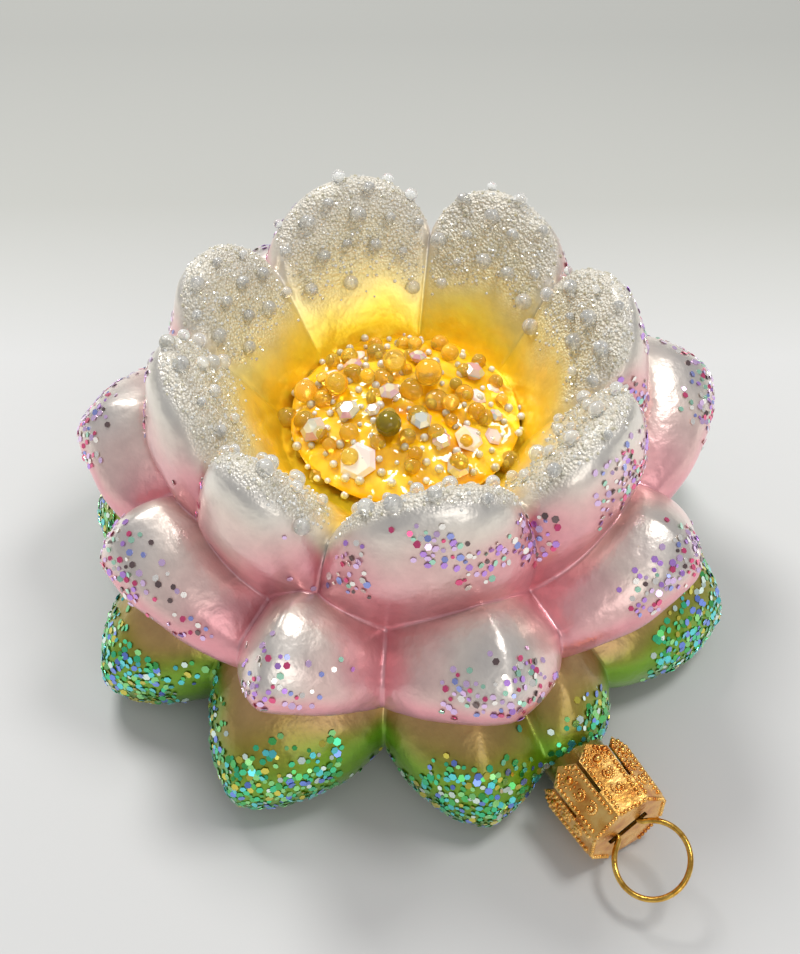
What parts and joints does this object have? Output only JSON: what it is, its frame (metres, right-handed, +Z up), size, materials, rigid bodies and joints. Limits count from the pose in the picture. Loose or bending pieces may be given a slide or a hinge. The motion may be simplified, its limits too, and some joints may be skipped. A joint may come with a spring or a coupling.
{
  "type": "water lily glass ornament",
  "caption": "Blown-glass hanging ornament shaped as an open water lily on its leaves, with a jewelled middle, a crown cap and a wire hanging loop",
  "frame": {"origin": "Middle of the flat foot, on the flower's axis", "axes": "+Z up along the flower's axis, +X along the neck towards the hanging loop, +Y left of the neck seen from above"},
  "size_m": [0.1144, 0.0963, 0.0506],
  "materials": {
    "silvered_glass": "silvered inside, lacquered pearl white, pink and leaf green outside, with frosting and glitter; opaque",
    "gilt_brass": "bright gilt, pressed relief",
    "amber_adhesive": "glossy translucent amber",
    "amber_glass": "clear amber, polished",
    "olive_glass": "clear olive, polished",
    "iridescent_crystal": "clear with an iridescent coating, faceted",
    "pale_stone": "pale opaque, lightly glossy"
  },
  "bodies": {
    "root": {"adhesive_bed": "amber_adhesive", "amber_bead_01": "amber_glass", "amber_bead_02": "amber_glass", "amber_bead_03": "amber_glass", "amber_bead_04": "amber_glass", "amber_bead_05": "amber_glass", "amber_bead_06": "amber_glass", "amber_bead_07": "amber_glass", "amber_bead_08": "amber_glass", "amber_bead_09": "amber_glass", "amber_bead_10": "amber_glass", "amber_bead_11": "amber_glass", "amber_bead_12": "amber_glass", "amber_bead_13": "amber_glass", "amber_bead_14": "amber_glass", "amber_bead_15": "amber_glass", "amber_bead_16": "amber_glass", "blown_glass_flower": "silvered_glass", "crown_cap": "gilt_brass", "crystal_01": "iridescent_crystal", "crystal_02": "iridescent_crystal", "crystal_03": "iridescent_crystal", "crystal_04": "iridescent_crystal", "crystal_05": "iridescent_crystal", "crystal_06": "iridescent_crystal", "crystal_07": "iridescent_crystal", "crystal_08": "iridescent_crystal", "crystal_09": "iridescent_crystal", "crystal_10": "iridescent_crystal", "crystal_11": "iridescent_crystal", "hanger_wire": "gilt_brass", "olive_bead": "olive_glass", "pale_chip_01": "pale_stone", "pale_chip_02": "pale_stone", "pale_chip_03": "pale_stone", "pale_chip_04": "pale_stone", "pale_chip_05": "pale_stone", "pale_chip_06": "pale_stone", "pale_chip_07": "pale_stone", "pale_chip_08": "pale_stone"}
  },
  "joints": []
}
